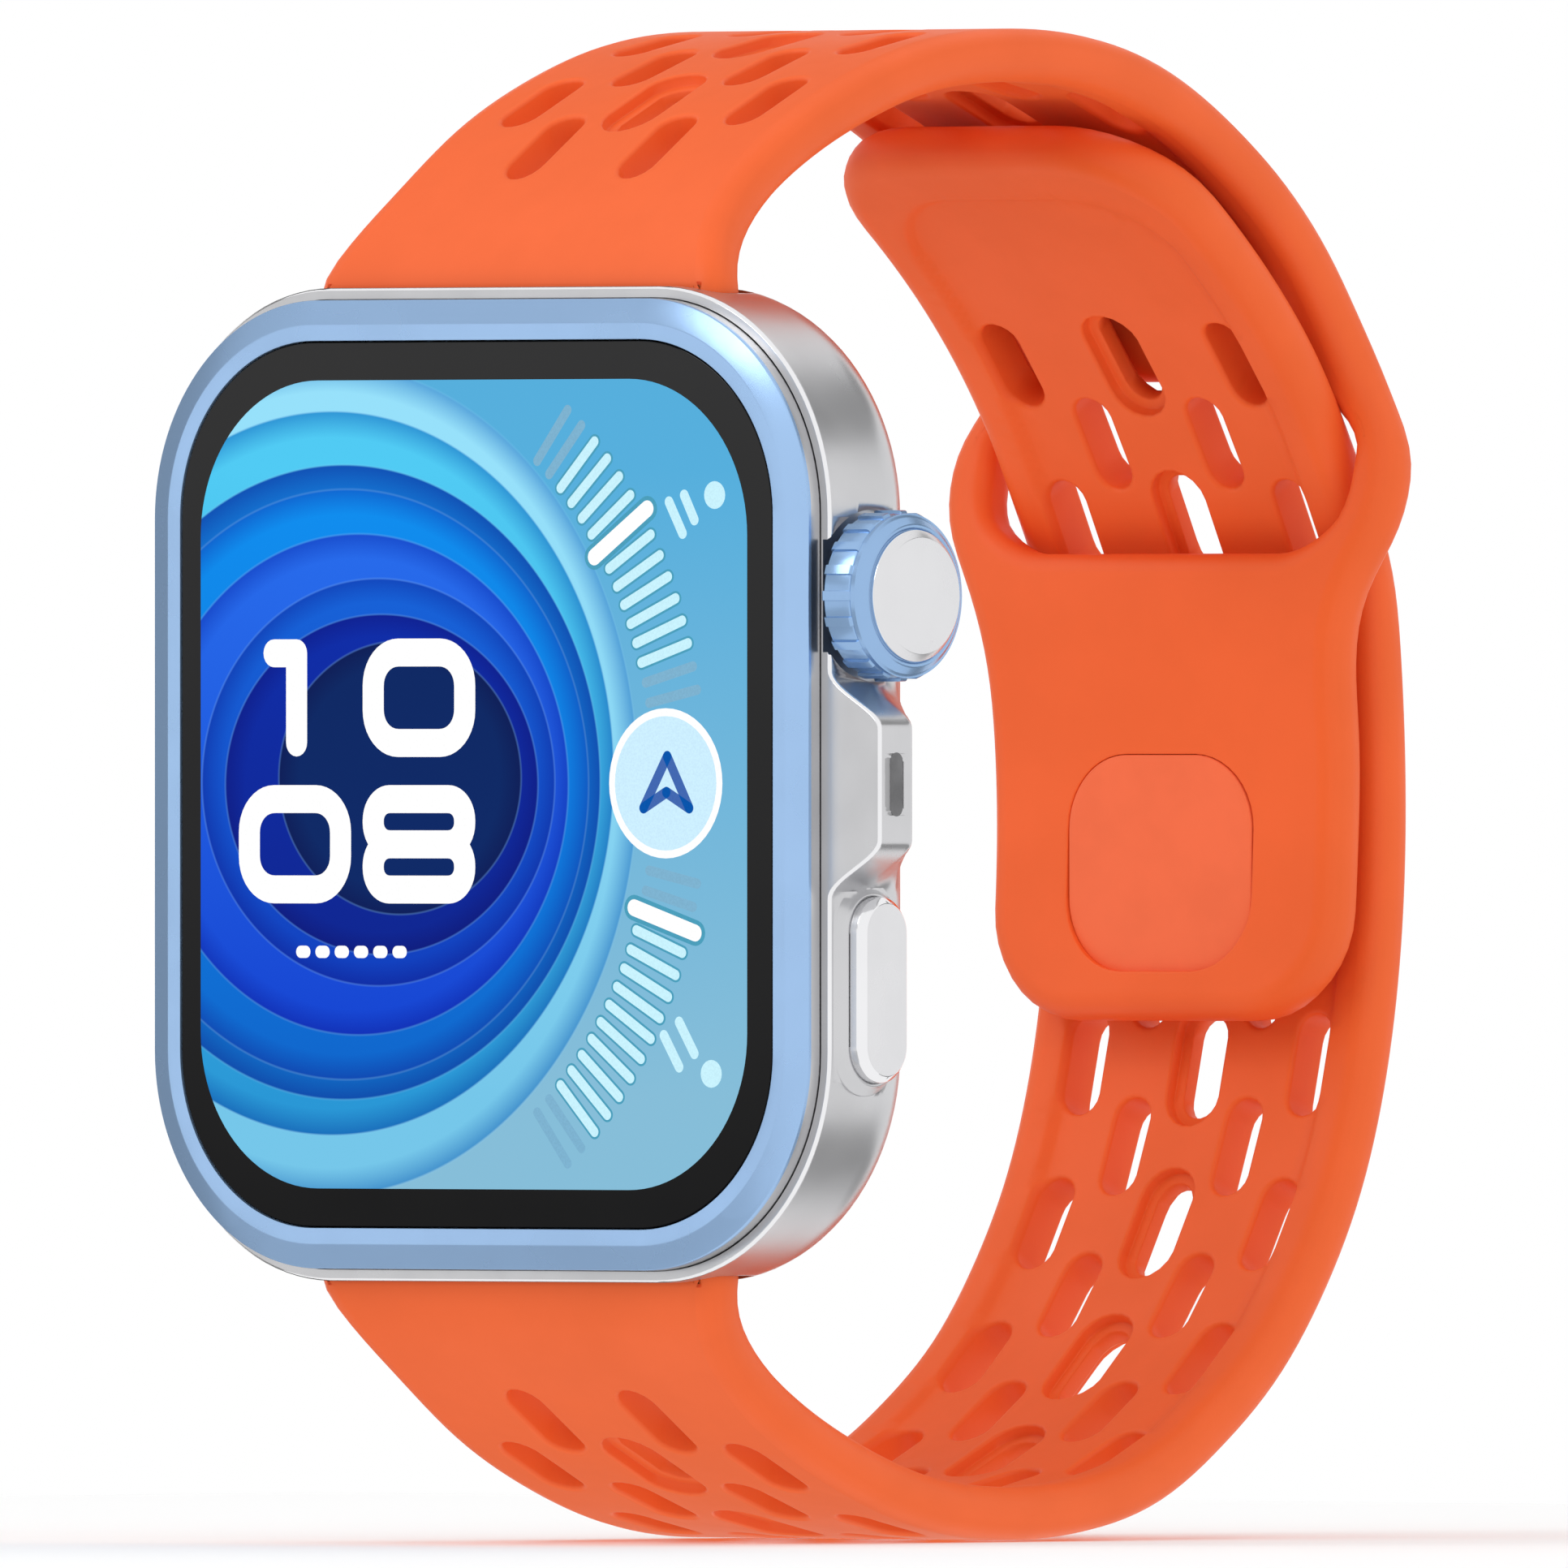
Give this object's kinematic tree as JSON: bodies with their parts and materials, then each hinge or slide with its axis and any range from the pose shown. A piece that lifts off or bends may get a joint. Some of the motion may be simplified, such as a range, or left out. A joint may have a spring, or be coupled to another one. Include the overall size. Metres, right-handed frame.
{
  "type": "gps running watch",
  "caption": "Square-faced sport watch with a turning crown, a side button and a silicone strap closed as a wrist loop, tail tucked through a window and held by a pin.",
  "frame": {"origin": "centre of the rear lens's flat face, which rests on the wrist", "axes": "+X to the crown side, +Y from the screen into the wrist, +Z to 12 o'clock"},
  "size_m": [0.043, 0.0529, 0.068],
  "materials": {
    "silver_case": "satin",
    "silver_controls": "satin, polished chamfer",
    "blue_bezel": "anodised satin",
    "blue_crown": "anodised satin",
    "cover_glass": "gloss",
    "display": "lit screen",
    "strap_silicone": "soft matt",
    "pin_silicone": "soft matt",
    "rear_ceramic": "satin",
    "rear_lens": "gloss",
    "steel": "satin",
    "black_plastic": "matt",
    "rubber_seal": "matt",
    "circuit_board": "satin",
    "gold_contact": "polished",
    "battery_foil": "satin"
  },
  "bodies": {
    "case": {"battery": "battery_foil", "bezel_ring": "blue_bezel", "button_seal": "rubber_seal", "button_switch": "black_plastic", "case_body": "silver_case", "charging_contact_1": "gold_contact", "charging_contact_2": "gold_contact", "chassis_screw_1": "steel", "chassis_screw_2": "steel", "chassis_screw_3": "steel", "chassis_screw_4": "steel", "closure_pin": "pin_silicone", "cover_glass": "cover_glass", "crown_encoder": "black_plastic", "crown_seal": "rubber_seal", "crown_switch": "black_plastic", "crown_tube": "steel", "display_gasket": "rubber_seal", "display_panel": "display", "gps_antenna": "gold_contact", "haptic_housing": "steel", "haptic_spring": "steel", "inner_chassis": "steel", "light_emitter": "gold_contact", "lower_release_spring": "steel", "lower_strap_clip": "steel", "main_board": "circuit_board", "mic_mesh": "black_plastic", "microphone": "gold_contact", "optic_barrier": "black_plastic", "photodiode_1": "black_plastic", "photodiode_2": "black_plastic", "rear_cover": "rear_ceramic", "rear_gasket": "rubber_seal", "rear_lens": "rear_lens", "sensor_board": "circuit_board", "shield_can": "steel", "speaker": "black_plastic", "speaker_mesh": "steel", "strap_lower": "strap_silicone", "strap_upper": "strap_silicone", "upper_release_spring": "steel", "upper_strap_clip": "steel"},
    "crown_press": {"crown_pusher": "black_plastic"},
    "crown": {"crown_ring": "blue_crown", "crown_cap": "silver_controls", "crown_stem": "steel", "crown_wheel": "black_plastic"},
    "side_button": {"button_cap": "silver_controls", "button_stem": "steel", "button_retainer": "steel"},
    "upper_release": {"upper_release_button": "steel"},
    "lower_release": {"lower_release_button": "steel"},
    "haptic": {"haptic_mass": "steel"}
  },
  "joints": [
    {"name": "crown_press", "type": "slide", "parent": "case", "child": "crown_press", "axis": [-1, 0, 0], "range_m": [0, 0.00035], "stiffness_N_per_m": 3000, "springref_m": -0.0002},
    {"name": "crown_spin", "type": "hinge", "parent": "crown_press", "child": "crown", "pos_m": [0.02025, -0.0052, 0.0084], "axis": [1, 0, 0], "continuous": true},
    {"name": "side_button_press", "type": "slide", "parent": "case", "child": "side_button", "axis": [-1, 0, 0], "range_m": [0, 0.00035], "stiffness_N_per_m": 3000, "springref_m": -0.0002},
    {"name": "upper_release_press", "type": "slide", "parent": "case", "child": "upper_release", "axis": [0, -0.6692, 0.7431], "range_m": [0, 0.0004], "stiffness_N_per_m": 2000, "springref_m": -0.0002, "deforming": ["upper_release_spring"]},
    {"name": "lower_release_press", "type": "slide", "parent": "case", "child": "lower_release", "axis": [0, -0.6692, -0.7431], "range_m": [0, 0.0004], "stiffness_N_per_m": 2000, "springref_m": -0.0002, "deforming": ["lower_release_spring"]},
    {"name": "haptic_shake", "type": "slide", "parent": "case", "child": "haptic", "axis": [0, 0, 1], "range_m": [-0.0005, 0.0005], "stiffness_N_per_m": 200, "deforming": ["haptic_spring"]}
  ]
}
